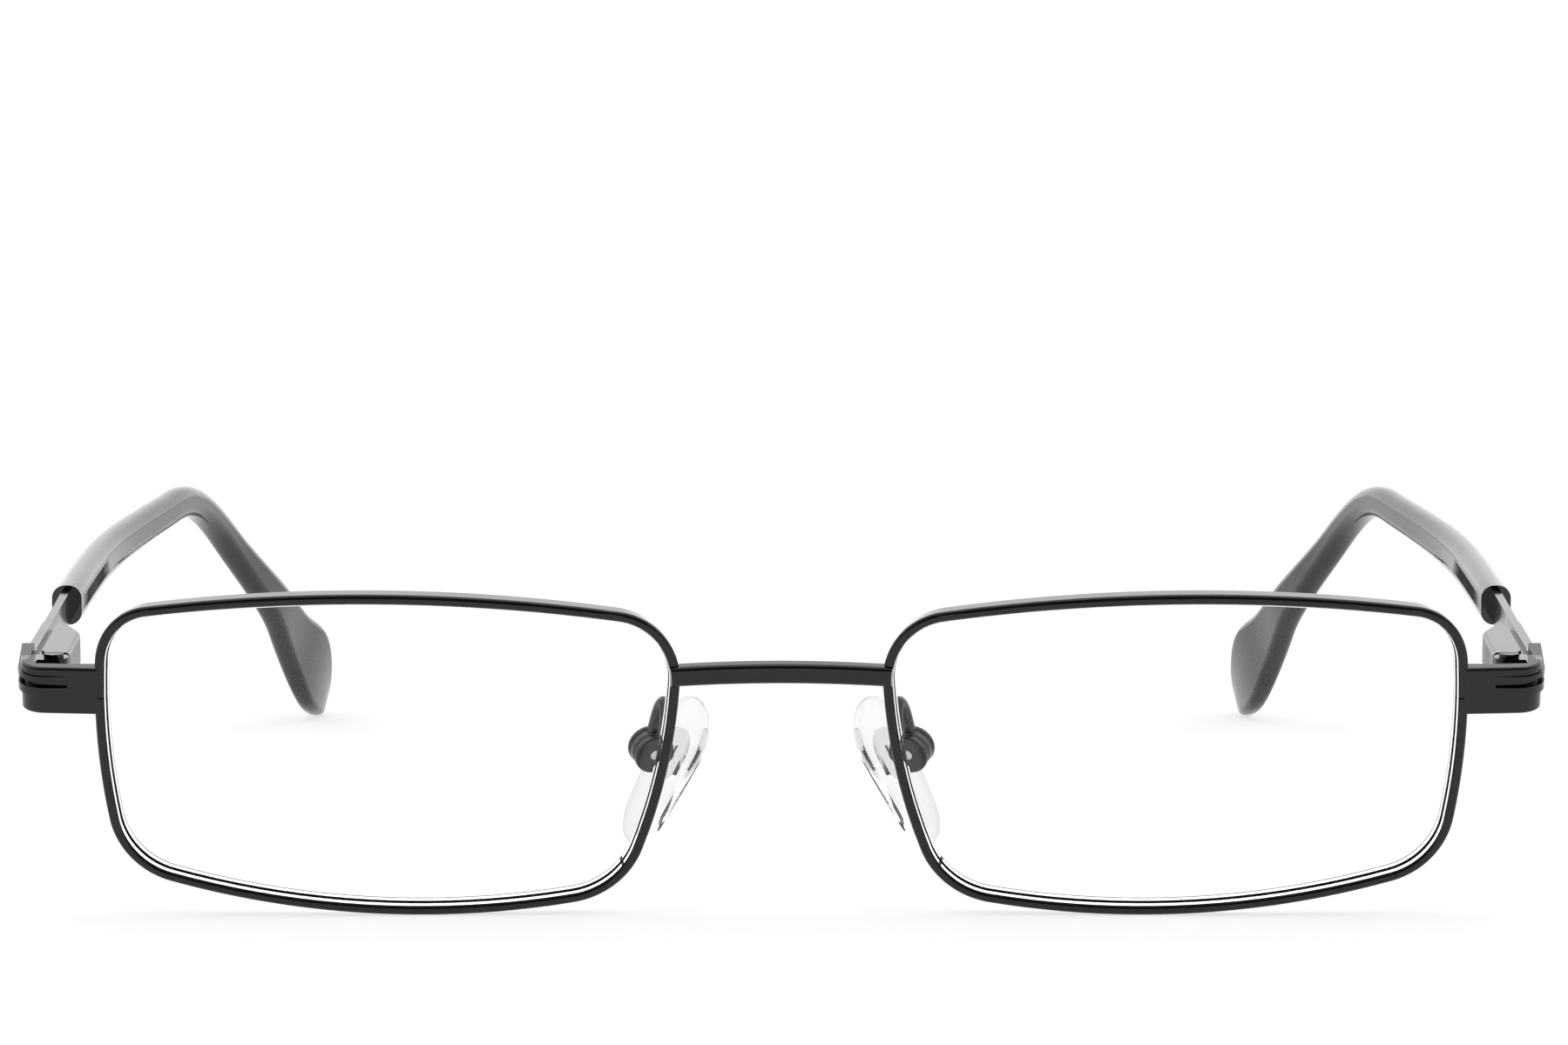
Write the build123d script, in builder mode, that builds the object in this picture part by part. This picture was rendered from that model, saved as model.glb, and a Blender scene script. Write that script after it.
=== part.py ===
from build123d import *
from math import cos, degrees, radians, sin, sqrt, tan
import os

# Rectangular full-rim metal eyeglasses, open, standing on the rims and the temple tips.
# Millimetres. X runs across the face, +Y from the front back to the ears, +Z up.
# The front is drawn upright, with its lens planes square to Y, and the temples are drawn level.
# The last section tilts the front, sets both down on the floor and puts the origin under the
# middle of the bounding box. Every piece is drawn for the +X side, and the -X side mirrors it.

# Lenses and rims
lens_width = 51.0
lens_height = 29.0
bridge_width = 18.6
lens_curve_radius = 118.0
lens_thickness = 1.6
lens_set_back = 0.2
lens_clearance = 0.04
rim_face_width = 0.9
rim_depth = 2.0
groove_width = 0.7
groove_depth = 0.35
rim_split_gap = 0.12
rim_edge_radius = 0.35
overrun = 1.0

# The lens outline: four bowed sides between four corners, the temple side first.
# Shares of half the lens width and of half the lens height, +1 being the temple side and the top.
corner_shares = [(0.981, 0.844), (-1.009, 0.789), (-0.798, -0.922), (0.926, -0.758)]
side_middle_shares = [(0.058, 0.998), (-0.967, -0.014), (-0.147, -1.003), (0.994, 0.139)]
corner_radii = [5.0, 6.0, 7.0, 6.5]

# Bridge
bridge_face_height = 1.8
bridge_depth = 1.6
bridge_end_height = 6.6
bridge_rise = 0.6
bridge_front = 2.65
bridge_bow = 0.35
bridge_reach = 11.5
bridge_lap = 0.4
bridge_edge_radius = 0.4

# Where the hinge screws stand, which the endpieces' back ends and the temples follow
hinge_x = 64.9
hinge_to_strap = 1.8
strap_to_bar = 0.1
bar_to_mouth = 0.45

# Endpieces, each a strap that leaves the rim and turns back to the temple
endpiece_height = 4.3
endpiece_thickness = 1.15
endpiece_middle = 5.45
endpiece_inner_end = 59.3
endpiece_front = 2.7
endpiece_lap = 0.4
endpiece_lap_end = 60.3
endpiece_sweep = 0.45
endpiece_inner_x = hinge_x + hinge_to_strap
endpiece_corner_stand = 0.3
endpiece_outer_x = endpiece_inner_x + endpiece_corner_stand
endpiece_flare = 0.95
endpiece_corner_radius = 2.3
endpiece_elbow_radius = 1.2
endpiece_top_radius = 0.3
endpiece_low_radius = 0.15
shoulder_top = 5.2
shoulder_bottom = 6.2
seam_depth = 13.0
seam_height = 3.3
seam_gap = 0.06

# The double bead round the endpiece's corner
bead_top = 6.8
bead_bottom = 5.0
bead_stand = 0.35
bead_inner_end = 62.6
bead_back_end = 11.5
flute_height = 0.6
flute_middle = 6.05
flute_depth = 0.3

# Rim locks, which close the split rims round the lenses
lock_inner_x = 60.0
lock_outer_x = 62.7
lock_drop = 0.75
lock_lid = 0.5
lock_back = 6.1
lock_split = 4.75
lock_joint_gap = 0.08
lock_edge_radius = 0.35
lock_screw_x = 61.6
lock_screw_depth = 5.2
lock_screw_diameter = 1.0
lock_screw_head = 1.5
lock_screw_head_height = 0.45
lock_screw_length = 3.0

# How the temple frame hangs on the front
pantoscopic_tilt = 9.0
tilt_depth = 3.6

# Spring hinges
hinge_depth = 10.3
knuckle_radius = 1.35
knuckle_thickness = 0.84
tongue_thickness = 1.24
knuckle_gap = 0.04
leaf_thickness = 0.45
leaf_front = 6.2
leaf_back = 11.3
hinge_screw_diameter = 1.2
hinge_screw_play = 0.04
hinge_screw_head = 1.8
hinge_screw_head_height = 0.3
driver_slot_width = 0.25
driver_slot_depth = 0.15

# Spring housings on the temples, with what works inside them
housing_front = 12.2
housing_length = 12.4
housing_width = 2.6
housing_height = 3.0
housing_taper_length = 3.6
housing_taper = 1.5
housing_corner_width = 0.5
housing_corner_length = 1.0
housing_edge_radius = 0.4
foot_length_trim = 0.3
foot_height = 2.2
foot_thickness = 0.5
bore_diameter = 1.7
bore_end = 21.9
mouth_play = 0.08
neck_width = 1.4
neck_end = 14.3
seat_front = 14.65
seat_thickness = 0.6
rod_diameter = 0.7
rod_play = 0.08
nut_diameter = 1.5
nut_front = 20.6
nut_thickness = 0.8
spring_wire = 0.22
spring_diameter = 1.2
spring_turns = 6
points_per_turn = 24
spring_length = 4.2
spring_end_gap = 0.04

# Temples
temple_length = 135.0
bar_height = 3.2
bar_mouth_height = 2.9
bar_thickness = 0.75
bar_front_thickness = 0.85
bar_inner_x = endpiece_inner_x + strap_to_bar
bar_step = 25.5
bar_step_length = 1.2
bend_radius = 24.0
bend_angle = 45.0
bend_corner = 95.0
sleeve_thickness = 2.8
sleeve_corner_share = 0.44
mouth_x = bar_inner_x + bar_to_mouth
tip_inset = 17.0
tip_roll = 14.0
paddle_height = 9.2
core_height = 1.2
core_thickness = 1.0

# Stations of a sleeve: shares of temple_length from the screw, tip_inset, paddle_height,
# sleeve_thickness and tip_roll. A smooth curve runs through each column.
sleeve_station_shares = [
    (0.235, 0.00, 0.41, 1.00, 0.0),
    (0.440, 0.06, 0.41, 1.00, 0.0),
    (0.610, 0.27, 0.37, 0.95, 0.0),
    (0.750, 0.49, 0.36, 0.95, 0.3),
    (0.860, 0.79, 0.56, 0.85, 0.9),
    (0.900, 0.86, 0.74, 0.80, 1.0),
    (0.950, 0.97, 1.00, 0.70, 1.0),
    (0.990, 1.00, 0.52, 0.60, 1.0),
    (1.000, 1.00, 0.28, 0.40, 1.0),
]
sleeve_sections = 26
section_crowding = 1.5
core_sections = 15
core_taper_end_share = 0.6
core_end_share = 0.86

# Nose pads, their inserts and their arms
pad_length = 14.6
pad_top_radius = 3.8
pad_bottom_radius = 3.0
pad_thickness = 1.9
pad_nose_edge_radius = 0.75
pad_back_edge_radius = 0.45
pad_x = 10.3
pad_depth = 9.3
pad_middle = -4.55
pad_splay = 25.0
pad_lean = 26.0
pad_rock_gap = 0.5
mount_rise = 1.7
mount_reach = 2.6
box_radius = 1.85
box_width = 2.2
box_slot = 1.16
box_web = 0.45
lug_thickness = 1.0
lug_radius = 1.1
insert_plate_length = 5.2
insert_plate_width = 3.4
insert_plate_thickness = 0.5
pad_screw_diameter = 0.9
pad_screw_play = 0.05
pad_screw_head = 1.5
pad_screw_head_height = 0.4
arm_diameter = 1.1
arm_rim_x = 10.3
arm_rim_depth = 4.6
arm_foot_height = -1.0
arm_foot_length = 0.5
arm_foot_radius = 0.8
arm_loop_height = 2.3
leg_stand = 0.05
leg_rise = 0.9
leg_back = -0.2

# Worked-out sizes
half_width = lens_width / 2
half_height = lens_height / 2
lens_centre_x = (lens_width + bridge_width) / 2
outline_depth = lens_curve_radius - sqrt(lens_curve_radius ** 2 - half_width ** 2)
rim_half = rim_face_width / 2
groove_front = (rim_depth - groove_width) / 2
groove_back = groove_front + groove_width


def lens_outline(depth, grow):
    """The lens outline where its cone, which narrows to the curve's centre, crosses a depth."""
    share = (lens_curve_radius - depth) / (lens_curve_radius - outline_depth)
    corners = [(x * half_width * share, z * half_height * share) for x, z in corner_shares]
    middles = [(x * half_width * share, z * half_height * share) for x, z in side_middle_shares]
    plane = Plane((lens_centre_x, depth, 0), x_dir=(1, 0, 0), z_dir=(0, -1, 0))
    with BuildSketch(plane) as outline:
        with BuildLine():
            for index, start in enumerate(corners):
                ThreePointArc(start, middles[index], corners[(index + 1) % len(corners)])
        make_face()
        for corner, radius in zip(corners, corner_radii):
            fillet(outline.vertices().sort_by_distance(corner)[0], radius * share)
        offset(amount=grow * share)
    return outline.sketch


def lens_slice(grow, front, back):
    """The grown lens cone between two spheres that lie front and back behind the lens curve."""
    with BuildPart() as slice_part:
        near = lens_outline(-overrun * 2, grow)
        far = lens_outline(outline_depth * 2 + rim_depth + overrun * 2, grow)
        loft(sections=[near.face(), far.face()], ruled=True)
        with Locations((lens_centre_x, lens_curve_radius, 0)):
            Sphere(lens_curve_radius - front, mode=Mode.INTERSECT)
            Sphere(lens_curve_radius - back, mode=Mode.SUBTRACT)
    return slice_part.part


def on_lens_curve(edge):
    """Whether both ends of an edge lie on the sphere of the rims' fronts."""
    centre = Vector(lens_centre_x, lens_curve_radius, 0)
    return all((edge @ end - centre).length > lens_curve_radius - groove_front / 2 for end in (0, 1))


def other_side(piece):
    """The same piece for the -X side."""
    with BuildPart() as mirrored:
        mirror(piece, about=Plane.YZ)
    return mirrored.part


# Rim, rounded in front and split at its lock, with the groove that holds the lens
rim_envelope = lens_slice(rim_half, -overrun, rim_depth + overrun)
rim_opening = lens_slice(-rim_half, -overrun, rim_depth + overrun)
with BuildPart() as rim:
    add(lens_slice(rim_half, 0, rim_depth))
    add(rim_opening, mode=Mode.SUBTRACT)
    add(lens_slice(groove_depth - rim_half, groove_front, groove_back), mode=Mode.SUBTRACT)
    fillet(rim.edges().filter_by(on_lens_curve), rim_edge_radius)
    with Locations((lens_centre_x + half_width, outline_depth, lock_split)):
        Box(rim_depth * 2, rim_depth * 4, rim_split_gap, mode=Mode.SUBTRACT)

# Lens, with the flat bevel that sits in the groove
with BuildPart() as lens:
    add(lens_slice(-rim_half - lens_clearance, lens_set_back, lens_set_back + lens_thickness))
    bevel = lens_slice(
        groove_depth - rim_half - lens_clearance,
        groove_front + lens_clearance,
        groove_back - lens_clearance,
    )
    add(bevel)

# Bridge, arched in both views. Its ends lap over the rims' fronts, in notches cut for them.
with BuildPart() as bridge:
    with BuildSketch(Plane.XZ.offset(-bridge_front + overrun)):
        with BuildLine():
            half = bridge_face_height / 2
            top_end = bridge_end_height + half
            low_end = bridge_end_height - half
            top = ThreePointArc(
                (-bridge_reach, top_end), (0, top_end + bridge_rise), (bridge_reach, top_end)
            )
            low = ThreePointArc(
                (-bridge_reach, low_end), (0, low_end + bridge_rise), (bridge_reach, low_end)
            )
            Line(top @ 0, low @ 0)
            Line(top @ 1, low @ 1)
        make_face()
    extrude(amount=-(bridge_depth + overrun * 2))
    with BuildSketch(Plane.XY):
        with BuildLine():
            back = bridge_front + bridge_depth
            near_edge = ThreePointArc(
                (-bridge_reach, bridge_front),
                (0, bridge_front - bridge_bow),
                (bridge_reach, bridge_front),
            )
            far_edge = ThreePointArc(
                (-bridge_reach, back), (0, back - bridge_bow), (bridge_reach, back)
            )
            Line(near_edge @ 0, far_edge @ 0)
            Line(near_edge @ 1, far_edge @ 1)
        make_face()
    extrude(amount=bridge_end_height * 2, mode=Mode.INTERSECT)
    long_edges = bridge.edges().filter_by(lambda edge: edge.length > bridge_reach)
    fillet(long_edges, bridge_edge_radius)
    bridge_seat = lens_slice(rim_half, bridge_lap, rim_depth + overrun)
    for clear_of in (rim_opening, bridge_seat):
        add(clear_of, mode=Mode.SUBTRACT)
        add(other_side(clear_of), mode=Mode.SUBTRACT)
with rim:
    add(bridge.part, mode=Mode.SUBTRACT)


def temple_to_front(depth, height):
    """Depth and height in the front's frame of a point that is given in the temple's frame."""
    tilt = radians(-pantoscopic_tilt)
    back = depth - tilt_depth
    return (
        tilt_depth + back * cos(tilt) - height * sin(tilt),
        endpiece_middle + back * sin(tilt) + height * cos(tilt),
    )


def strap_depth(x):
    """Depth of the endpiece's front face at x."""
    reach = (x - endpiece_inner_end) / (endpiece_outer_x - endpiece_inner_end)
    return endpiece_front + endpiece_sweep * reach


def strap_side(depth):
    """X of the endpiece's outer face at a depth behind its corner."""
    corner_depth = strap_depth(endpiece_outer_x)
    return endpiece_outer_x + endpiece_flare * (depth - corner_depth) / (seam_depth - corner_depth)


def strap_edges(strap, level):
    """The edges between the endpiece's outer face and its top or bottom, at that level."""
    return [
        edge
        for edge in strap.edges()
        if all(
            abs(end.Z - level) < seam_gap
            and (end.Y < strap_depth(end.X) + seam_gap or end.X > endpiece_outer_x - seam_gap)
            for end in (edge @ 0, edge @ 1)
        )
    ]


# Endpiece: the strap's plan, cut by its side view, with the double bead round the corner
strap_top = endpiece_middle + endpiece_height / 2
strap_bottom = endpiece_middle - endpiece_height / 2
strap_back = seam_depth + overrun
with BuildPart() as endpiece:
    with BuildSketch(Plane.XY.offset(strap_bottom - endpiece_height / 2)) as strap_plan:
        with BuildLine():
            outer_corner = (endpiece_outer_x, strap_depth(endpiece_outer_x))
            inner_depth = strap_depth(endpiece_inner_x) + endpiece_thickness
            inner_corner = (endpiece_inner_x, inner_depth)
            Polyline(
                (endpiece_lap_end, strap_depth(endpiece_lap_end)),
                outer_corner,
                (strap_side(strap_back), strap_back),
                (endpiece_inner_x, strap_back),
                inner_corner,
                (endpiece_inner_end, endpiece_front + endpiece_thickness),
                (endpiece_lap_end - endpiece_lap, strap_depth(endpiece_lap_end) + endpiece_lap),
                close=True,
            )
        make_face()
        fillet(strap_plan.vertices().sort_by_distance(outer_corner)[0], endpiece_corner_radius)
        fillet(strap_plan.vertices().sort_by_distance(inner_corner)[0], endpiece_elbow_radius)
    extrude(amount=endpiece_height * 2)
    with BuildSketch(Plane.YZ.offset(endpiece_inner_end - overrun)):
        with BuildLine():
            Polyline(
                (0, strap_top),
                (shoulder_top, strap_top),
                temple_to_front(seam_depth, seam_height / 2),
                temple_to_front(seam_depth, -seam_height / 2),
                (shoulder_bottom, strap_bottom),
                (0, strap_bottom),
                close=True,
            )
        make_face()
    extrude(amount=endpiece_outer_x, mode=Mode.INTERSECT)
    for level, radius in ((strap_top, endpiece_top_radius), (strap_bottom, endpiece_low_radius)):
        fillet(strap_edges(endpiece, level), radius)
    with BuildSketch(Plane.XY.offset(bead_bottom)) as bead_plan:
        with BuildLine():
            bead_corner = (endpiece_outer_x + bead_stand, strap_depth(endpiece_outer_x) - bead_stand)
            Polyline(
                (bead_inner_end, strap_depth(bead_inner_end)),
                bead_corner,
                (strap_side(bead_back_end), bead_back_end),
                (endpiece_inner_x, bead_back_end),
                inner_corner,
                (bead_inner_end, strap_depth(bead_inner_end) + endpiece_thickness / 2),
                close=True,
            )
        make_face()
        bead_radius = endpiece_corner_radius + bead_stand
        fillet(bead_plan.vertices().sort_by_distance(bead_corner)[0], bead_radius)
        fillet(bead_plan.vertices().sort_by_distance(inner_corner)[0], endpiece_elbow_radius)
    extrude(amount=bead_top - bead_bottom)
    with BuildSketch(Plane.XY.offset(flute_middle - flute_height / 2)) as flute_plan:
        with BuildLine():
            flute_corner = (endpiece_outer_x - flute_depth, outer_corner[1] + flute_depth)
            flute_end = bead_inner_end + flute_depth
            Polyline(
                (flute_end, strap_depth(flute_end) + flute_depth),
                flute_corner,
                (strap_side(bead_back_end) - flute_depth, bead_back_end),
                (strap_side(bead_back_end) + overrun, bead_back_end),
                (strap_side(bead_back_end) + overrun, 0),
                (flute_end, 0),
                close=True,
            )
        make_face()
        flute_radius = endpiece_corner_radius - flute_depth
        fillet(flute_plan.vertices().sort_by_distance(flute_corner)[0], flute_radius)
    extrude(amount=flute_height, mode=Mode.SUBTRACT)
    add(lens_slice(rim_half, endpiece_lap, rim_depth + overrun), mode=Mode.SUBTRACT)
with rim:
    add(endpiece.part, mode=Mode.SUBTRACT)


def lock_block(bottom, top, joint_gap, lid):
    """Half of a rim lock, on the rim's outer wall and behind the endpiece."""
    with BuildPart() as block:
        with BuildSketch(Plane.XY.offset(bottom)) as plan:
            with BuildLine():
                near = endpiece_thickness + joint_gap
                corner = (lock_outer_x, lock_back)
                Polyline(
                    (lock_inner_x, strap_depth(lock_inner_x) + near),
                    (lock_outer_x, strap_depth(lock_outer_x) + near),
                    corner,
                    (lock_inner_x, lock_back),
                    close=True,
                )
            make_face()
            fillet(plan.vertices().sort_by_distance(corner)[0], lock_edge_radius)
        extrude(amount=top - bottom)
        add(rim_envelope, mode=Mode.SUBTRACT)
        with Locations((lock_screw_x, lock_screw_depth, (bottom + top - lid) / 2)):
            Cylinder(lock_screw_diameter / 2, top - lid - bottom, mode=Mode.SUBTRACT)
    return block


lock_bottom = strap_bottom
lock_top = strap_top - lock_drop
upper_lock = lock_block(lock_split + rim_split_gap / 2, lock_top, 0, lock_lid)
lower_lock = lock_block(lock_bottom, lock_split - rim_split_gap / 2, lock_joint_gap, 0)
with lower_lock:
    with Locations((lock_screw_x, lock_screw_depth, lock_bottom + lock_screw_head_height / 2)):
        Cylinder(lock_screw_head / 2, lock_screw_head_height, mode=Mode.SUBTRACT)


def slotted_screw(diameter, length, head, head_height):
    """A screw along +Z, its head's outer face at zero and its shank above it."""
    with BuildPart() as screw:
        Cylinder(head / 2, head_height, align=(Align.CENTER, Align.CENTER, Align.MIN))
        Cylinder(diameter / 2, length, align=(Align.CENTER, Align.CENTER, Align.MIN))
        Box(
            head,
            driver_slot_width,
            driver_slot_depth,
            align=(Align.CENTER, Align.CENTER, Align.MIN),
            mode=Mode.SUBTRACT,
        )
    return screw.part


# Rim lock screw, put in from below
with BuildPart() as lock_screw:
    with Locations((lock_screw_x, lock_screw_depth, lock_bottom)):
        add(slotted_screw(
            lock_screw_diameter, lock_screw_length, lock_screw_head, lock_screw_head_height
        ))

# The frame of a nose pad's mount: X to the front, Y up the pad, Z towards the nose
splay = radians(pad_splay)
lean = radians(pad_lean)
to_nose = Vector(-cos(splay) * cos(lean), sin(splay), -cos(splay) * sin(lean))
up_pad = Vector(-sin(lean), 0, cos(lean))
to_front = up_pad.cross(to_nose)
mount_centre = Vector(pad_x, pad_depth, pad_middle) + up_pad * mount_rise - to_nose * mount_reach
mount_plane = Plane(mount_centre, x_dir=to_front, z_dir=to_nose)
pad_back = mount_reach - pad_thickness / 2

# The box that holds the pad's lug: two round cheeks and the web behind them
with BuildPart() as pad_box:
    with BuildSketch(Plane.YZ.offset(-box_width / 2)):
        Circle(box_radius)
    extrude(amount=box_width)
    with Locations((0, 0, pad_back - pad_rock_gap)):
        Box(
            box_width * 2,
            box_radius * 2,
            box_radius * 2,
            align=(Align.CENTER, Align.CENTER, Align.MIN),
            mode=Mode.SUBTRACT,
        )
    with Locations((0, 0, box_web - box_radius)):
        Box(
            box_slot,
            box_radius * 2,
            box_radius * 2,
            align=(Align.CENTER, Align.CENTER, Align.MIN),
            mode=Mode.SUBTRACT,
        )
    Cylinder(pad_screw_diameter / 2, box_width, rotation=(0, 90, 0), mode=Mode.SUBTRACT)

# Pad arm: a wire that leaves the rim, loops up and over, and ends on the box's front cheek
leg_foot = (
    mount_centre
    + to_front * (box_width / 2 + leg_stand)
    + up_pad * leg_rise
    - to_nose * leg_back
)
foot_end = arm_rim_depth + arm_foot_length
leg_depth = foot_end + arm_foot_radius
leg_low = arm_foot_height + arm_foot_radius
bow = arm_foot_radius * sin(radians(45))
loop_radius = (Vector(arm_rim_x, leg_depth) - Vector(leg_foot.X, leg_foot.Y)).length / 2
with BuildPart() as pad_arm:
    with BuildLine() as arm_route:
        foot = Line(
            (arm_rim_x, arm_rim_depth, arm_foot_height),
            (arm_rim_x, foot_end, arm_foot_height),
        )
        turn = ThreePointArc(
            foot @ 1,
            (arm_rim_x, foot_end + bow, leg_low - bow),
            (arm_rim_x, leg_depth, leg_low),
        )
        leg = Line(turn @ 1, (arm_rim_x, leg_depth, arm_loop_height))
        loop = ThreePointArc(
            leg @ 1,
            (
                (arm_rim_x + leg_foot.X) / 2,
                (leg_depth + leg_foot.Y) / 2,
                arm_loop_height + loop_radius,
            ),
            (leg_foot.X, leg_foot.Y, arm_loop_height),
        )
        Line(loop @ 1, leg_foot)
    with BuildSketch(Plane(foot @ 0, z_dir=foot % 0)):
        Circle(arm_diameter / 2)
    sweep()
    add(pad_box.part.moved(mount_plane.location))
    add(rim.part, mode=Mode.SUBTRACT)

# Insert moulded into the pad: a plate, and a lug that turns on the pad screw
with BuildPart() as pad_insert:
    with BuildSketch(Plane.XY.offset(mount_reach - insert_plate_thickness / 2)):
        SlotOverall(insert_plate_length, insert_plate_width, rotation=90)
    extrude(amount=insert_plate_thickness)
    with BuildSketch(Plane.YZ.offset(-lug_thickness / 2)):
        Circle(lug_radius)
        with Locations((0, mount_reach / 2)):
            Rectangle(lug_radius * 2, mount_reach)
    extrude(amount=lug_thickness)
    lug_hole = pad_screw_diameter / 2 + pad_screw_play
    Cylinder(lug_hole, lug_thickness, rotation=(0, 90, 0), mode=Mode.SUBTRACT)

# Nose pad, an egg-shaped cushion with a rounder side to the nose
with BuildPart() as nose_pad:
    with BuildSketch(Plane.XY.offset(pad_back)):
        with Locations((0, pad_length / 2 - pad_top_radius - mount_rise)):
            Circle(pad_top_radius)
        with Locations((0, pad_bottom_radius - pad_length / 2 - mount_rise)):
            Circle(pad_bottom_radius)
        make_hull()
    extrude(amount=pad_thickness)
    fillet(nose_pad.faces().sort_by(Axis.Z)[-1].edges(), pad_nose_edge_radius)
    fillet(nose_pad.faces().sort_by(Axis.Z)[0].edges(), pad_back_edge_radius)
    add(pad_insert.part, mode=Mode.SUBTRACT)

# Pad screw, its head behind the box
with BuildPart() as pad_screw:
    with Locations(Location((-box_width / 2 - pad_screw_head_height, 0, 0), (0, 90, 0))):
        add(slotted_screw(
            pad_screw_diameter,
            box_width + pad_screw_head_height,
            pad_screw_head,
            pad_screw_head_height,
        ))

# Front half of a hinge, in the temple's frame: two knuckles and the leaf on the endpiece
knuckle_low = tongue_thickness / 2 + knuckle_gap
knuckle_top = knuckle_low + knuckle_thickness
leaf_inner_x = endpiece_inner_x - leaf_thickness
web_front = hinge_depth - knuckle_radius
with BuildPart() as hinge_leaf:
    with BuildSketch(Plane.XY.offset(knuckle_low)):
        with Locations((hinge_x, hinge_depth)):
            Circle(knuckle_radius)
        with Locations(((hinge_x + leaf_inner_x) / 2, (web_front + leaf_back) / 2)):
            Rectangle(leaf_inner_x - hinge_x, leaf_back - web_front)
    extrude(amount=knuckle_thickness)
    mirror(about=Plane.XY)
    with Locations((endpiece_inner_x - leaf_thickness / 2, (leaf_front + leaf_back) / 2, 0)):
        Box(leaf_thickness, leaf_back - leaf_front, knuckle_top * 2)
    with Locations((hinge_x, hinge_depth, 0)):
        knuckle_bore = hinge_screw_diameter / 2 + hinge_screw_play
        Cylinder(knuckle_bore, knuckle_top * 2, mode=Mode.SUBTRACT)

# Hinge screw, its head on top
screw_top = knuckle_top + hinge_screw_play + hinge_screw_head_height
with BuildPart() as hinge_screw:
    with Locations(Location((hinge_x, hinge_depth, screw_top), (180, 0, 0))):
        add(slotted_screw(
            hinge_screw_diameter,
            screw_top + knuckle_top,
            hinge_screw_head,
            hinge_screw_head_height,
        ))

# Tongue: the eye on the screw, its neck, and the rod with the nut that the spring pushes
with BuildPart() as hinge_tongue:
    with BuildSketch(Plane.XY.offset(-tongue_thickness / 2)):
        with Locations((hinge_x, hinge_depth)):
            Circle(knuckle_radius - knuckle_gap)
        with Locations((hinge_x, (hinge_depth + neck_end) / 2)):
            Rectangle(neck_width, neck_end - hinge_depth)
    extrude(amount=tongue_thickness)
    with BuildSketch(Plane((hinge_x, neck_end, 0), z_dir=(0, 1, 0))):
        Circle(rod_diameter / 2)
    extrude(amount=nut_front + nut_thickness - neck_end)
    with BuildSketch(Plane((hinge_x, nut_front, 0), z_dir=(0, 1, 0))):
        Circle(nut_diameter / 2)
    extrude(amount=nut_thickness)
    with Locations((hinge_x, hinge_depth, 0)):
        Cylinder(knuckle_bore, tongue_thickness, mode=Mode.SUBTRACT)

# Spring housing, with the mouth for the neck, the bore for the spring and a foot on the bar
housing_outer_x = bar_inner_x - foot_thickness
housing_inner_x = housing_outer_x - housing_width
housing_back = housing_front + housing_length
bore_front = seat_front - mouth_play
with BuildPart() as spring_housing:
    with BuildSketch(Plane.XY.offset(-housing_height / 2)):
        with BuildLine():
            Polyline(
                (housing_inner_x, housing_front),
                (housing_outer_x - housing_corner_width, housing_front),
                (housing_outer_x, housing_front + housing_corner_length),
                (housing_outer_x, housing_back),
                (housing_inner_x + housing_taper, housing_back),
                (housing_inner_x, housing_back - housing_taper_length),
                close=True,
            )
        make_face()
    extrude(amount=housing_height)
    inner_edges = spring_housing.faces().sort_by(Axis.X)[0].edges()
    fillet(inner_edges.filter_by(Axis.Y), housing_edge_radius)
    foot_front = seam_depth + seam_gap
    foot_length = housing_back - foot_front - foot_length_trim
    with Locations((bar_inner_x - foot_thickness / 2, foot_front + foot_length / 2, 0)):
        Box(foot_thickness, foot_length, foot_height)
    mouth_length = bore_front - housing_front
    with Locations((hinge_x, housing_front + mouth_length / 2, 0)):
        Box(
            neck_width + mouth_play * 2,
            mouth_length,
            tongue_thickness + mouth_play * 2,
            mode=Mode.SUBTRACT,
        )
    with BuildSketch(Plane((hinge_x, bore_front, 0), z_dir=(0, 1, 0))):
        Circle(bore_diameter / 2)
    extrude(amount=bore_end - bore_front, mode=Mode.SUBTRACT)

# Spring seat, a washer pressed into the bore in front of the spring
with BuildPart() as spring_seat:
    with BuildSketch(Plane((hinge_x, seat_front, 0), z_dir=(0, 1, 0))):
        Circle(bore_diameter / 2)
        Circle(rod_diameter / 2 + rod_play, mode=Mode.SUBTRACT)
    extrude(amount=seat_thickness)

# Spring, a coil on the rod, drawn at the length that it has when the temple is pushed out
spring_front = seat_front + seat_thickness + spring_end_gap + spring_wire / 2
with BuildPart() as hinge_spring:
    with BuildLine() as coil:
        Helix(
            spring_length / spring_turns,
            spring_length,
            spring_diameter / 2,
            center=(hinge_x, spring_front, 0),
            direction=(0, 1, 0),
        )
    with BuildSketch(Plane(coil.line @ 0, z_dir=coil.line % 0)):
        Circle(spring_wire / 2)
    sweep(is_frenet=True)
coil_count = spring_turns * points_per_turn
coil_points = [coil.line @ (index / coil_count) for index in range(coil_count + 1)]
least_gap = min(
    (far - near).length - spring_wire
    for index, near in enumerate(coil_points)
    for far in coil_points[index + points_per_turn // 2:]
)
print("spring's least gap to itself", round(least_gap, 3))


def slope(low, high, column):
    """The slope of a column from one station to the next."""
    return (high[column] - low[column]) / (high[0] - low[0])


def station_shares(along_share):
    """The other shares at a share of the length, on smooth curves through the stations."""
    rows = sleeve_station_shares
    first = sum(along_share > row[0] for row in rows[1:-1])
    low, high = rows[first], rows[first + 1]
    span = high[0] - low[0]
    t = (along_share - low[0]) / span
    shares = []
    for column in range(1, len(low)):
        start = end = slope(low, high, column)
        if low is not rows[0]:
            start = (start + slope(rows[first - 1], low, column)) / 2
        if high is not rows[-1]:
            end = (end + slope(high, rows[first + 2], column)) / 2
        shares.append(
            low[column] * (1 + 2 * t) * (1 - t) ** 2
            + high[column] * (3 - 2 * t) * t ** 2
            + span * t * (1 - t) * (start * (1 - t) - end * t)
        )
    return shares


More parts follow.
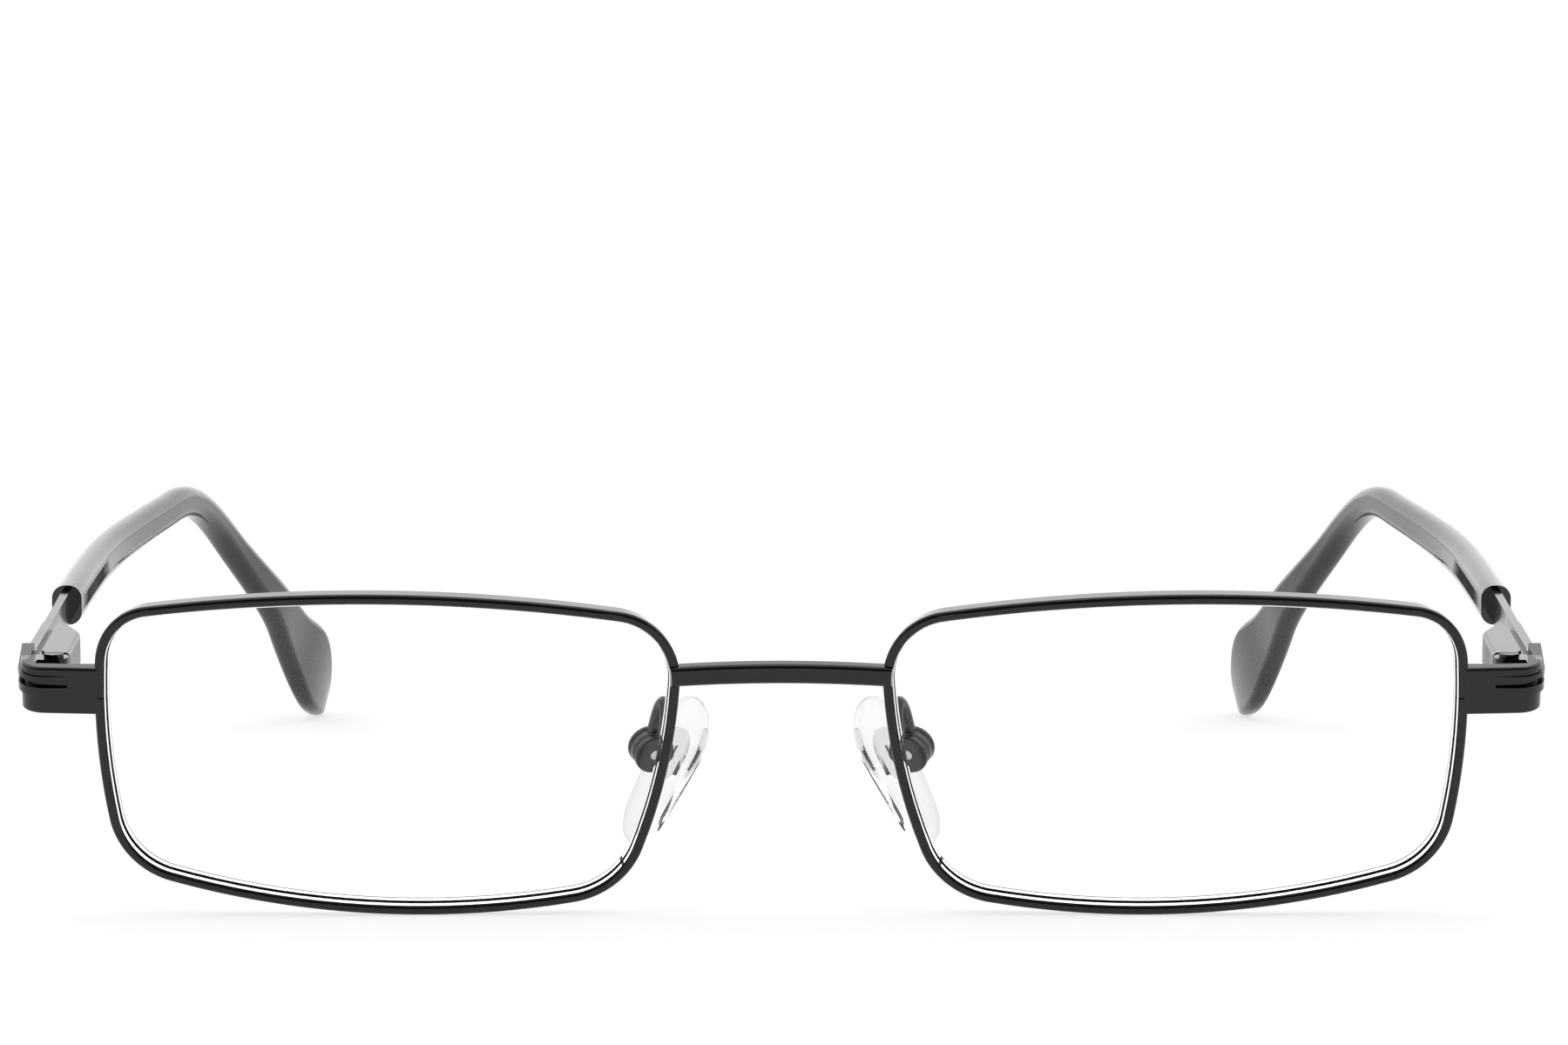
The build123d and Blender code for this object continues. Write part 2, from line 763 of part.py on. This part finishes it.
def temple_plane(along_share, inset_share, roll_share=0):
    """The cross-section plane of a temple at a share of its length, following the bend."""
    along = along_share * temple_length
    bend = radians(bend_angle)
    arc_start = bend_corner - bend_radius * tan(bend / 2)
    angle = min(max((along - arc_start) / bend_radius, 0), bend)
    straight = min(along, arc_start)
    leg_length = max(along - arc_start - bend_radius * bend, 0)
    depth = straight + bend_radius * sin(angle) + leg_length * cos(bend)
    height = -bend_radius * (1 - cos(angle)) - leg_length * sin(bend)
    origin = (mouth_x - inset_share * tip_inset, hinge_depth + depth, height)
    square = Plane(origin, x_dir=(1, 0, 0), z_dir=(0, cos(angle), -sin(angle)))
    return square.rotated((0, 0, roll_share * tip_roll))


# Temple bar: a flat bar from the hinge, and the core wire that it becomes in the sleeve
mouth_share = sleeve_station_shares[0][0]
mouth_depth = hinge_depth + mouth_share * temple_length
bar_end_x = mouth_x - bar_thickness / 2
with BuildPart() as temple_bar:
    with BuildSketch(Plane.XY.offset(-bar_height / 2)):
        with BuildLine():
            Polyline(
                (bar_inner_x, foot_front),
                (bar_inner_x + bar_front_thickness, foot_front),
                (bar_inner_x + bar_front_thickness, bar_step),
                (bar_inner_x + bar_thickness, bar_step + bar_step_length),
                (bar_end_x + bar_thickness, mouth_depth),
                (bar_end_x, mouth_depth),
                (bar_inner_x, bar_step),
                close=True,
            )
        make_face()
    extrude(amount=bar_height)
    with BuildSketch(Plane.YZ.offset(bar_end_x - bar_height)):
        with BuildLine():
            Polyline(
                (foot_front, bar_height / 2),
                (mouth_depth, bar_mouth_height / 2),
                (mouth_depth, -bar_mouth_height / 2),
                (foot_front, -bar_height / 2),
                close=True,
            )
        make_face()
    extrude(amount=bar_height * 2, mode=Mode.INTERSECT)
with BuildPart() as core:
    for index in range(core_sections):
        along = mouth_share + (core_end_share - mouth_share) * index / (core_sections - 1)
        taper = min((along - mouth_share) / (core_taper_end_share - mouth_share), 1)
        with BuildSketch(temple_plane(along, station_shares(along)[0])):
            Rectangle(
                bar_thickness + (core_thickness - bar_thickness) * taper,
                bar_mouth_height + (core_height - bar_mouth_height) * taper,
            )
    loft(ruled=True)
with temple_bar:
    add(core.part)

# Sleeve over the core wire, widening into the paddle behind the ear
with BuildPart() as temple_sleeve:
    for index in range(sleeve_sections):
        to_tip = 1 - (1 - index / (sleeve_sections - 1)) ** section_crowding
        along = mouth_share + (1 - mouth_share) * to_tip
        inset, tall, thick, roll = station_shares(along)
        width = thick * sleeve_thickness
        height = tall * paddle_height
        with BuildSketch(temple_plane(along, inset, roll)):
            RectangleRounded(width, height, min(width, height) * sleeve_corner_share)
    loft()
    add(core.part, mode=Mode.SUBTRACT)

# Where the pieces stand: the front leans on the temples' frame, and both rest on the floor
front_on_temples = (
    Location((0, tilt_depth, 0))
    * Location((0, 0, 0), (pantoscopic_tilt, 0, 0))
    * Location((0, -tilt_depth, -endpiece_middle))
)
front_pieces = {
    "rim": rim.part,
    "lens": lens.part,
    "endpiece": endpiece.part,
    "upper_rim_lock": upper_lock.part,
    "lower_rim_lock": lower_lock.part,
    "rim_lock_screw": lock_screw.part,
    "pad_arm": pad_arm.part,
    "pad_screw": pad_screw.part.moved(mount_plane.location),
    "pad_insert": pad_insert.part.moved(mount_plane.location),
    "nose_pad": nose_pad.part.moved(mount_plane.location),
}
temple_pieces = {
    "hinge_leaf": hinge_leaf.part,
    "hinge_screw": hinge_screw.part,
    "hinge_tongue": hinge_tongue.part,
    "spring_housing": spring_housing.part,
    "spring_seat": spring_seat.part,
    "hinge_spring": hinge_spring.part,
    "temple_bar": temple_bar.part,
    "temple_sleeve": temple_sleeve.part,
}


def lowest(piece, place):
    """Height of a piece's lowest point once it is placed."""
    return piece.moved(place).bounding_box().min.Z


# The rise of the temples, in degrees, at which the rims and the tips touch the floor together
tip = temple_plane(1, 1).origin
rest_rise = 0
for round_number in range(5):
    rise = Location((0, 0, 0), (rest_rise, 0, 0))
    step = lowest(rim.part, rise * front_on_temples) - lowest(temple_sleeve.part, rise)
    rest_rise += degrees(step / tip.Y)

rise = Location((0, 0, 0), (rest_rise, 0, 0))
placed = {"bridge": bridge.part.moved(rise * front_on_temples)}
for name, piece in front_pieces.items():
    placed[name + "_left"] = other_side(piece).moved(rise * front_on_temples)
    placed[name + "_right"] = piece.moved(rise * front_on_temples)
for name, piece in temple_pieces.items():
    placed[name + "_left"] = other_side(piece).moved(rise)
    placed[name + "_right"] = piece.moved(rise)
boxes = [piece.bounding_box() for piece in placed.values()]
front_end = min(box.min.Y for box in boxes)
back_end = max(box.max.Y for box in boxes)
floor = min(box.min.Z for box in boxes)
to_origin = Location((0, -(front_end + back_end) / 2, -floor))

os.makedirs("parts", exist_ok=True)
for node, piece in placed.items():
    solid = piece.moved(to_origin)
    solid.label = node
    export_step(solid, f"parts/{node}.step")

# Places that the record gives, in millimetres
hinge_place = to_origin * rise * Location((hinge_x, hinge_depth, 0))
mount_place = to_origin * rise * front_on_temples * mount_plane.location
print("rest rise", round(rest_rise, 4), "degrees")
print("hinge", hinge_place.position, "axis", Plane(hinge_place).z_dir, "back", Plane(hinge_place).y_dir)
print("pad screw", mount_place.position, "axis", Plane(mount_place).x_dir)
print("bounds", front_end - (front_end + back_end) / 2, (back_end - front_end) / 2)
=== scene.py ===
from math import cos, radians, sin, sqrt

import bmesh
import bpy
from mathutils import Matrix, Vector


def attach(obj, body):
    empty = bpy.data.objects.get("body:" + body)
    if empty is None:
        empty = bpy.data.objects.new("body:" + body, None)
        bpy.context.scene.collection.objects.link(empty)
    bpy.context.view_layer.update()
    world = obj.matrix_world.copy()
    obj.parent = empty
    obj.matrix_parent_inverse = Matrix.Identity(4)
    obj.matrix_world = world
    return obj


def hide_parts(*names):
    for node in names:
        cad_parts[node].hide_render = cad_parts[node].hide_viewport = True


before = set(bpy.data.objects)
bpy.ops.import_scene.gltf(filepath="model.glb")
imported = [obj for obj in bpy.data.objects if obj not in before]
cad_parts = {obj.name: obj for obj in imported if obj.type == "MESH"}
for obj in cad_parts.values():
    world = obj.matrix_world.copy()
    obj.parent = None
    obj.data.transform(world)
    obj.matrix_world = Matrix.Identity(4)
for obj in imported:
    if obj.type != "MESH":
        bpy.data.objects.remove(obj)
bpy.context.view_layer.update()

mm = 0.001
sides = {"left": -1, "right": 1}

# How the materials' patches, grains and the painted shade on clear edges are drawn, the same in all of
# them
patch_detail = 3.0
patch_contrast = 0.55
patch_low = 0.35
patch_high = 0.65
grain_detail = 2.0
grain_contrast = 0.5
even_blend = 0.5
painted_shade_start = 0.45


def linear(hex_colour):
    """An sRGB hex value as a linear colour with full alpha."""
    shares = [int(hex_colour[place:place + 2], 16) / 255 for place in (1, 3, 5)]
    return [s / 12.92 if s <= 0.04045 else ((s + 0.055) / 1.055) ** 2.4 for s in shares] + [1]


def add_node(tree, kind, settings=(), links=()):
    """Adds a node, sets its sockets or fields, and links its sockets to their sources."""
    node = tree.nodes.new(kind)
    for name, value in dict(settings).items():
        if isinstance(name, int) or name in node.inputs:
            node.inputs[name].default_value = value
        else:
            setattr(node, name, value)
    for name, source in dict(links).items():
        tree.links.new(source, node.inputs[name])
    return node


def largest_of(tree, sources):
    """The largest of several values."""
    largest = sources[0]
    for source in sources[1:]:
        pair = add_node(tree, "ShaderNodeMath", {"operation": "MAXIMUM"}, {0: largest, 1: source})
        largest = pair.outputs[0]
    return largest


def finish_of(name, look, colours, mottle, roughness=None, grain=None, grain_depth=None, painted_edge_shade=None):
    """A material. look sets the shader's own sockets, and the two colours mix in patches of mottle mm.
    Roughness varies between its two values in the same patches, and the bump has grains of grain mm
    and grain_depth mm. Without roughness values the surface is polished and has neither. A clear
    material gets painted shade, its edge colour, where it is seen along its surface, standing in for the
    dimmer light that its edges bend and reflect."""
    material = bpy.data.materials.new(name)
    material.use_nodes = True
    tree = material.node_tree
    tree.nodes.clear()
    place = add_node(tree, "ShaderNodeTexCoord")
    patches = add_node(
        tree,
        "ShaderNodeTexNoise",
        {"Scale": 1 / (mottle * mm), "Detail": patch_detail, "Roughness": patch_contrast},
        {"Vector": place.outputs["Object"]},
    )
    tint = add_node(
        tree,
        "ShaderNodeMix",
        {"data_type": "RGBA", 6: linear(colours[0]), 7: linear(colours[1])},
        {0: patches.outputs[0]},
    )
    # Painted shade: the base colour is mixed towards the grey edge colour where the surface is seen edge
    # on
    if painted_edge_shade:
        along = add_node(tree, "ShaderNodeLayerWeight", {"Blend": even_blend})
        painted_shade_share = add_node(
            tree,
            "ShaderNodeMapRange",
            {"From Min": painted_shade_start, "From Max": 1.0},
            {"Value": along.outputs["Facing"]},
        )
        tint = add_node(
            tree,
            "ShaderNodeMix",
            {"data_type": "RGBA", 7: linear(painted_edge_shade)},
            {0: painted_shade_share.outputs[0], 6: tint.outputs[2]},
        )
    sources = {"Base Color": tint.outputs[2]}
    if roughness:
        rub = add_node(
            tree,
            "ShaderNodeMapRange",
            {
                "From Min": patch_low,
                "From Max": patch_high,
                "To Min": roughness[0],
                "To Max": roughness[1],
            },
            {"Value": patches.outputs[0]},
        )
        grains = add_node(
            tree,
            "ShaderNodeTexNoise",
            {"Scale": 1 / (grain * mm), "Detail": grain_detail, "Roughness": grain_contrast},
            {"Vector": place.outputs["Object"]},
        )
        bump = add_node(
            tree,
            "ShaderNodeBump",
            {"Strength": 1.0, "Distance": grain_depth * mm},
            {"Height": grains.outputs[0]},
        )
        sources["Roughness"] = rub.outputs[0]
        sources["Normal"] = bump.outputs[0]
    shader = add_node(tree, "ShaderNodeBsdfPrincipled", look, sources)
    add_node(tree, "ShaderNodeOutputMaterial", {}, {"Surface": shader.outputs[0]})
    return material


# Stoved black enamel over nickel silver wire: a thin hard coat, near black where it faces the
# eye and pale where it lies along the eye's line, with the faint unevenness of sprayed lacquer.
stoved_enamel = finish_of(
    "stoved_black_enamel",
    {"IOR": 1.45},
    ("#0f0e09", "#171610"),
    mottle=6.0,
    roughness=(0.1, 0.17),
    grain=0.5,
    grain_depth=0.003,
)

# Gunmetal plating over drawn and turned nickel silver: a grey metal with fine drawing lines.
gunmetal = finish_of(
    "gunmetal_plating",
    {"Metallic": 1.0},
    ("#464643", "#545452"),
    mottle=2.5,
    roughness=(0.24, 0.36),
    grain=0.15,
    grain_depth=0.003,
)

# Stainless steel, turned and polished: bright, with fine tool marks.
turned_steel = finish_of(
    "turned_stainless_steel",
    {"Metallic": 1.0},
    ("#b9b9b6", "#cfcfcb"),
    mottle=1.0,
    roughness=(0.16, 0.26),
    grain=0.1,
    grain_depth=0.002,
)

# Spring steel wire, drawn and blued by its heat treatment: a darker, duller grey than the screws.
spring_wire = finish_of(
    "drawn_spring_steel",
    {"Metallic": 1.0},
    ("#77787c", "#8e8f93"),
    mottle=1.0,
    roughness=(0.22, 0.34),
    grain=0.08,
    grain_depth=0.002,
)

# Cast lens resin, polished and given an antireflection coat: clear and sharp, with hardly any
# gloss. Each coated face sends back about half a percent, which this index gives and the bare
# resin's 1.5 does not.
lens_resin = finish_of(
    "polished_lens_resin",
    {"IOR": 1.16, "Transmission Weight": 1.0, "Roughness": 0.0},
    ("#fafdfc", "#ffffff"),
    mottle=14.0,
)

# Moulded clear silicone: soft gloss, water clear in its middle, with painted shade making it greyish where
# its edges are seen edge on. So thin a pad bends the light little, which a lower index than silicone's
# 1.41 gives.
clear_silicone = finish_of(
    "moulded_clear_silicone",
    {"IOR": 1.14, "Transmission Weight": 1.0},
    ("#f1f2f1", "#f8f9f8"),
    mottle=3.0,
    roughness=(0.02, 0.06),
    grain=1.2,
    grain_depth=0.002,
    # painted shade at the pad's edges, not a colour of the silicone itself
    painted_edge_shade="#7c8080",
)

# Clear-grey polycarbonate, moulded for the insert that stiffens the pad: it shows as a light grey
# shape through the silicone. It lies inside the pad, so its index is polycarbonate's 1.58 over
# silicone's 1.41.
insert_plastic = finish_of(
    "moulded_insert_polycarbonate",
    {"IOR": 1.12, "Transmission Weight": 1.0},
    ("#e2e3e3", "#ecedec"),
    mottle=2.0,
    roughness=(0.06, 0.12),
    grain=0.5,
    grain_depth=0.002,
)

# Polished cellulose propionate, moulded over the temple's wire: black, deep gloss, with the slow
# waves that moulding and tumbling leave.
polished_plastic = finish_of(
    "polished_black_plastic",
    {"IOR": 1.55},
    ("#121214", "#1a1a1c"),
    mottle=9.0,
    roughness=(0.03, 0.07),
    grain=3.0,
    grain_depth=0.004,
)

finishes = {
    "bridge": stoved_enamel,
    "rim": stoved_enamel,
    "endpiece": stoved_enamel,
    "temple_bar": stoved_enamel,
    "spring_housing": stoved_enamel,
    "upper_rim_lock": stoved_enamel,
    "lower_rim_lock": stoved_enamel,
    "hinge_leaf": stoved_enamel,
    "hinge_tongue": gunmetal,
    "hinge_screw": gunmetal,
    "pad_arm": gunmetal,
    "pad_screw": turned_steel,
    "rim_lock_screw": turned_steel,
    "spring_seat": turned_steel,
    "pad_insert": insert_plastic,
    "hinge_spring": spring_wire,
    "lens": lens_resin,
    "nose_pad": clear_silicone,
    "temple_sleeve": polished_plastic,
}
for node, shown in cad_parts.items():
    shown.data.materials.clear()
    shown.data.materials.append(finishes[node.removesuffix("_left").removesuffix("_right")])


def piece_from(name, form, material, body):
    """A finished piece from a bmesh: faces outward, smooth, riding on its body."""
    bmesh.ops.recalc_face_normals(form, faces=form.faces)
    mesh = bpy.data.meshes.new(name)
    form.to_mesh(mesh)
    form.free()
    for face in mesh.polygons:
        face.use_smooth = True
    mesh.materials.append(material)
    piece = bpy.data.objects.new(name, mesh)
    bpy.context.scene.collection.objects.link(piece)
    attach(piece, body)
    return piece


# Nose pads: soft egg-shaped cushions with a crowned face to the nose. Their frame is the pad
# mount's: X to the front, Y up the pad, Z towards the nose. The mount's place, its turns and the
# front's tilt are the CAD's.
pad_length = 15.2 * mm
pad_thickness = 1.9 * mm
pad_top_radius = 3.8 * mm
pad_bottom_radius = 3.0 * mm
pad_squareness = 2.7
pad_reach = 2.6 * mm
pad_drop = 2.0 * mm
pad_segments = 64
pad_rings = 48
pole_gap = 0.001
pad_splay = radians(25)
pad_lean = radians(26)
front_tilt = radians(13.089)
pad_mount = Vector((11.673, -58.127, 14.409)) * mm

to_nose = Vector((-cos(pad_splay) * cos(pad_lean), sin(pad_splay), -cos(pad_splay) * sin(pad_lean)))
up_pad = Vector((-sin(pad_lean), 0, cos(pad_lean)))
to_front = up_pad.cross(to_nose)
pad_turn = Matrix.Rotation(front_tilt, 3, "X") @ Matrix((to_front, up_pad, to_nose)).transposed()
pad_frame = Matrix.Translation(pad_mount) @ pad_turn.to_4x4()


def pad_half_width(height):
    """Half the width of the pad's egg outline at a height from its middle."""
    top = pad_length / 2 - pad_top_radius
    bottom = pad_bottom_radius - pad_length / 2
    if height > top:
        return sqrt(max(pad_top_radius ** 2 - (height - top) ** 2, 0))
    if height < bottom:
        return sqrt(max(pad_bottom_radius ** 2 - (height - bottom) ** 2, 0))
    return pad_bottom_radius + (pad_top_radius - pad_bottom_radius) * (height - bottom) / (top - bottom)


def nose_pad(side, hand):
    """A crowned egg-shaped cushion in its mount's frame, made from a sphere with its poles at the
    pad's ends. Each ring becomes a flattened round with squarer sides, as wide as the outline."""
    form = bmesh.new()
    bmesh.ops.create_uvsphere(form, u_segments=pad_segments, v_segments=pad_rings, radius=1)
    bmesh.ops.rotate(form, matrix=Matrix.Rotation(radians(90), 3, "X"), verts=form.verts)
    for vert in form.verts:
        along = vert.co.y
        ring = Vector((vert.co.x, 0, vert.co.z))
        if ring.length > pole_gap:
            ring.normalize()
            reach = abs(ring.x) ** pad_squareness + abs(ring.z) ** pad_squareness
            ring /= reach ** (1 / pad_squareness)
        height = along * pad_length / 2
        vert.co.x = ring.x * pad_half_width(height)
        vert.co.y = height
        vert.co.z = ring.z * pad_thickness / 2 * sqrt(max(1 - along ** 2, 0))
    bmesh.ops.translate(form, vec=(0, -pad_drop, pad_reach), verts=form.verts)
    bmesh.ops.transform(form, matrix=pad_frame, verts=form.verts)
    if hand < 0:
        bmesh.ops.scale(form, vec=(-1, 1, 1), verts=form.verts)
    pad = piece_from(f"soft_pad_{side}", form, clear_silicone, f"nose_pad_{side}")
    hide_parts(f"nose_pad_{side}")


# Pad arms: a bent wire soldered to the rim's back, and the round box that holds the pad's lug
# between two cheeks. Route points are millimetres from the pad mount, before the front's tilt.
arm_route = (
    (-1.37, -3.7, 0.99),
    (-1.37, -2.7, 1.0),
    (-1.37, -2.25, 2.4),
    (-1.37, -2.1, 4.0),
    (-1.27, -1.5, 5.25),
    (-0.8, -0.7, 4.4),
    (-0.45, -0.3, 3.0),
    (-0.07, 0.0, 1.3),
)
arm_radius = 0.55 * mm
arm_bevel_steps = 6
arm_route_steps = 10
arm_route_order = 3
solder_radius = 0.8 * mm
solder_stretch = (1, 0.55, 1.1, 1)
solder_segments = 28
solder_rings = 16
box_radius = 1.85 * mm
box_width = 2.2 * mm
box_slot = 1.16 * mm
box_segments = 56
box_edge = 0.18 * mm
box_edge_steps = 4
box_edge_angle = radians(60)
web_thickness = 0.45 * mm
web_inset = 0.05 * mm
web_start = radians(-105)
web_turn = radians(210)
web_steps = 32
tilt_frame = Matrix.Translation(pad_mount) @ Matrix.Rotation(front_tilt, 4, "X")


def bent_wire():
    """The arm's wire as a mesh: a smooth round wire along its route."""
    line = bpy.data.curves.new("arm_line", "CURVE")
    line.dimensions = "3D"
    line.bevel_depth = arm_radius
    line.bevel_resolution = arm_bevel_steps
    line.resolution_u = arm_route_steps
    line.use_fill_caps = True
    spline = line.splines.new("NURBS")
    spline.points.add(len(arm_route) - 1)
    for point, place in zip(spline.points, arm_route):
        point.co = (*(tilt_frame @ (Vector(place) * mm)), 1)
    spline.order_u = arm_route_order
    spline.use_endpoint_u = True
    holder = bpy.data.objects.new("arm_line", line)
    wire = bpy.data.meshes.new_from_object(holder)
    bpy.data.objects.remove(holder)
    return wire


def round_box():
    """The box: two round cheeks with soft edges, joined by a web that leaves the lug's side open."""
    form = bmesh.new()
    cheek_width = (box_width - box_slot) / 2
    for end in (-1, 1):
        middle = Matrix.Translation((end * (box_slot + cheek_width) / 2, 0, 0))
        bmesh.ops.create_cone(
            form,
            cap_ends=True,
            segments=box_segments,
            radius1=box_radius,
            radius2=box_radius,
            depth=cheek_width,
            matrix=middle @ Matrix.Rotation(radians(90), 4, "Y"),
        )
    corners = [edge for edge in form.edges if edge.calc_face_angle(0) > box_edge_angle]
    bmesh.ops.bevel(
        form,
        geom=corners,
        offset=box_edge,
        segments=box_edge_steps,
        affect="EDGES",
        profile=0.5,
        material=-1,
    )
    reach = box_slot / 2 + box_edge / 2
    inner = box_radius - web_thickness
    outer = box_radius - web_inset
    wall = [
        form.verts.new((x, 0, -radius))
        for x, radius in ((-reach, inner), (reach, inner), (reach, outer), (-reach, outer))
    ]
    bmesh.ops.rotate(form, matrix=Matrix.Rotation(web_start, 3, "X"), verts=wall)
    bmesh.ops.spin(
        form, geom=[form.faces.new(wall)], cent=(0, 0, 0), axis=(1, 0, 0), angle=web_turn, steps=web_steps
    )
    bmesh.ops.transform(form, matrix=pad_frame, verts=form.verts)
    return form


def pad_arm(side, hand):
    """The box with the wire that carries it and the solder at the wire's foot."""
    form = round_box()
    foot = Matrix.Translation(Vector(arm_route[0]) * mm) @ Matrix.Diagonal(solder_stretch)
    bmesh.ops.create_uvsphere(
        form,
        u_segments=solder_segments,
        v_segments=solder_rings,
        radius=solder_radius,
        matrix=tilt_frame @ foot,
    )
    form.from_mesh(bent_wire())
    if hand < 0:
        bmesh.ops.scale(form, vec=(-1, 1, 1), verts=form.verts)
    arm = piece_from(f"bent_pad_arm_{side}", form, gunmetal, "front")
    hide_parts(f"pad_arm_{side}")


for side, hand in sides.items():
    nose_pad(side, hand)
    pad_arm(side, hand)

# Plain pale studio: white behind and above the object and for whatever looks through glass, and
# dim on the side that the photographer stands on. A heading's Y runs from -1, towards the
# photographer, to 1, away.
dim_side = 0.06
dim_heading = -0.75
white_heading = 0.05
world = bpy.data.worlds.new("studio")
bpy.context.scene.world = world
world.use_nodes = True
sky = world.node_tree
sky.nodes.clear()
heading = add_node(sky, "ShaderNodeTexCoord")
shares = add_node(sky, "ShaderNodeSeparateXYZ", {}, {0: heading.outputs["Generated"]})
room = add_node(
    sky,
    "ShaderNodeMapRange",
    {"From Min": dim_heading, "From Max": white_heading, "To Min": dim_side, "To Max": 1.0},
    {"Value": shares.outputs["Y"]},
)
rays = add_node(sky, "ShaderNodeLightPath").outputs
level = largest_of(sky, [rays["Is Camera Ray"], rays["Is Transmission Ray"], room.outputs[0]])
air = add_node(sky, "ShaderNodeBackground", {"Color": linear("#ffffff")}, {"Strength": level})
add_node(sky, "ShaderNodeOutputWorld", {}, {"Surface": air.outputs[0]})

# The paper's own white is a matt share that keeps the shadows and a share that is only seen
matt_share = 0.34
seen_share = 0.7
floor_half = 4.0
paper = bpy.data.materials.new("pale_studio_paper")
paper.use_nodes = True
sheet = paper.node_tree
sheet.nodes.clear()
rays = add_node(sheet, "ShaderNodeLightPath").outputs
shown_white = largest_of(
    sheet, [rays["Is Camera Ray"], rays["Is Glossy Ray"], rays["Is Transmission Ray"]]
)
lift = add_node(sheet, "ShaderNodeMath", {"operation": "MULTIPLY", 1: seen_share}, {0: shown_white})
matt = add_node(sheet, "ShaderNodeBsdfDiffuse", {"Color": (matt_share, matt_share, matt_share, 1)})
glow = add_node(
    sheet, "ShaderNodeEmission", {"Color": linear("#ffffff")}, {"Strength": lift.outputs[0]}
)
both = add_node(sheet, "ShaderNodeAddShader", {}, {0: matt.outputs[0], 1: glow.outputs[0]})
add_node(sheet, "ShaderNodeOutputMaterial", {}, {"Surface": both.outputs[0]})

form = bmesh.new()
bmesh.ops.create_grid(form, x_segments=1, y_segments=1, size=floor_half)
ground = bpy.data.meshes.new("floor")
form.to_mesh(ground)
form.free()
ground.materials.append(paper)
floor = bpy.data.objects.new("floor", ground)
bpy.context.scene.collection.objects.link(floor)

# One very wide lamp above and behind, far away, so that it lights the whole floor alike
ceiling_energy = 1.3
ceiling_spread = radians(120)
ceiling_lean = radians(-38)
ceiling = bpy.data.lights.new("ceiling_softbox", "SUN")
ceiling.energy = ceiling_energy
ceiling.angle = ceiling_spread
holder = bpy.data.objects.new("ceiling_softbox", ceiling)
bpy.context.scene.collection.objects.link(holder)
holder.rotation_euler = (ceiling_lean, 0, 0)

# Camera where the photograph was taken: in front of the middle, a little above, on a long lens.
# The lens and the sensor are in millimetres and the shift is a share of the frame's width.
camera_place = (0, -0.62227, 0.09607)
camera_pitch = radians(6.211)
camera_lens = 146.52
sensor_width = 36
frame_shift = 0.00167
nearest_shown = 0.01
farthest_shown = 20
lens_settings = bpy.data.cameras.new("camera")
lens_settings.sensor_width = sensor_width
lens_settings.lens = camera_lens
lens_settings.shift_x = frame_shift
lens_settings.clip_start = nearest_shown
lens_settings.clip_end = farthest_shown
camera = bpy.data.objects.new("camera", lens_settings)
bpy.context.scene.collection.objects.link(camera)
camera.location = camera_place
camera.rotation_euler = (radians(90) - camera_pitch, 0, 0)
bpy.context.scene.camera = camera
bpy.context.scene.view_settings.view_transform = "Standard"
